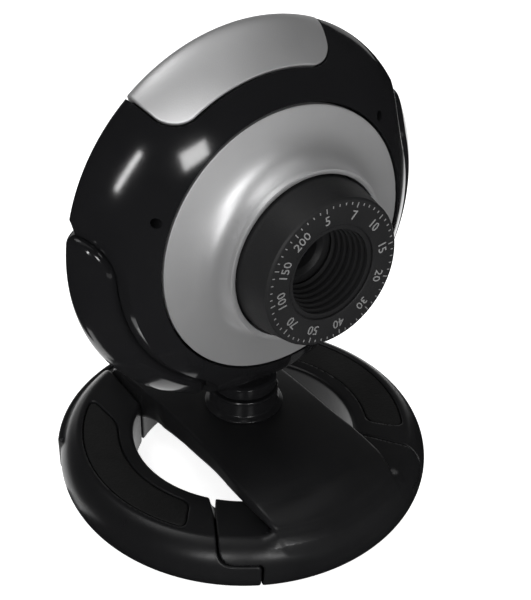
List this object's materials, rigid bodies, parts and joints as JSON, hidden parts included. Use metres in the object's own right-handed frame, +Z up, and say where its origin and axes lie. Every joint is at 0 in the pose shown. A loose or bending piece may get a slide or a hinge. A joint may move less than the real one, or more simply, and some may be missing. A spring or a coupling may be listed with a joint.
{
  "type": "webcam",
  "caption": "Round webcam head with a silver face plate and focus ring, on a swivelling neck and a low ring base that opens as a clip.",
  "frame": {"origin": "on the floor under the middle of the ring base", "axes": "+Z up, the lens looks along -Y, and +X is on the right when the object is seen from the front"},
  "size_m": [0.066, 0.066, 0.0853],
  "materials": {
    "gloss_black": "polished, lightly scuffed",
    "satin_black": "fine satin grain",
    "soft_black": "soft matt",
    "silver": "satin silver paint on plastic",
    "steel": "bright zinc",
    "glass": "coated",
    "board_green": "solder mask",
    "chip_grey": "moulded"
  },
  "bodies": {
    "ring": {"ring_leg": "gloss_black", "left_leg_pad": "soft_black", "right_leg_pad": "soft_black", "left_leg_cover": "satin_black", "right_leg_cover": "satin_black", "left_foot_pad": "soft_black", "right_foot_pad": "soft_black", "hinge_pin": "steel", "clip_spring": "steel"},
    "arm": {"clip_arm": "gloss_black", "arm_cover": "satin_black", "front_foot_pad": "soft_black", "neck_collar": "satin_black"},
    "neck": {"neck_stem": "gloss_black", "swivel_washer": "steel", "swivel_screw": "steel"},
    "seat": {"ball_seat": "satin_black"},
    "head": {"front_shell": "gloss_black", "rear_shell": "gloss_black", "top_inlay": "silver", "left_side_cover": "gloss_black", "right_side_cover": "gloss_black", "face_plate": "silver", "lens_holder": "satin_black", "ir_filter": "glass", "image_sensor": "chip_grey", "circuit_board": "board_green", "microphone": "steel", "indicator_led": "glass", "cable_gland": "soft_black", "front_socket": "satin_black", "rear_socket": "satin_black", "shell_screw_1": "steel", "shell_screw_2": "steel", "shell_screw_3": "steel", "board_screw_1": "steel", "board_screw_2": "steel"},
    "focus": {"focus_ring": "satin_black"},
    "lens": {"lens_barrel": "satin_black", "front_lens": "glass", "rear_lens": "glass"}
  },
  "joints": [
    {"name": "clip_open", "type": "hinge", "parent": "ring", "child": "arm", "pos_m": [0, 0.0254, 0.0056], "axis": [-1, 0, 0], "range_deg": [0, 45], "stiffness_Nm_per_rad": 0.12, "springref_deg": -34.38},
    {"name": "neck_pan", "type": "hinge", "parent": "arm", "child": "neck", "pos_m": [0, 0, 0.017], "axis": [0, 0, 1], "range_deg": [-90, 90]},
    {"name": "head_roll", "type": "hinge", "parent": "neck", "child": "seat", "pos_m": [0, 0, 0.033], "axis": [0, -1, 0], "range_deg": [-8, 8]},
    {"name": "head_tilt", "type": "hinge", "parent": "seat", "child": "head", "pos_m": [0, 0, 0.033], "axis": [1, 0, 0], "range_deg": [-8, 10]},
    {"name": "focus_turn", "type": "hinge", "parent": "head", "child": "focus", "pos_m": [0, 0, 0.0529], "axis": [0, -1, 0], "range_deg": [-150, 150]},
    {"name": "lens_slide", "type": "slide", "parent": "focus", "child": "lens", "axis": [0, -1, 0], "range_m": [-0.00022, 0.00022]}
  ],
  "couplings": [
    {"joint": "lens_slide", "follows": "focus_turn", "m_per_rad": 0.0000796}
  ]
}
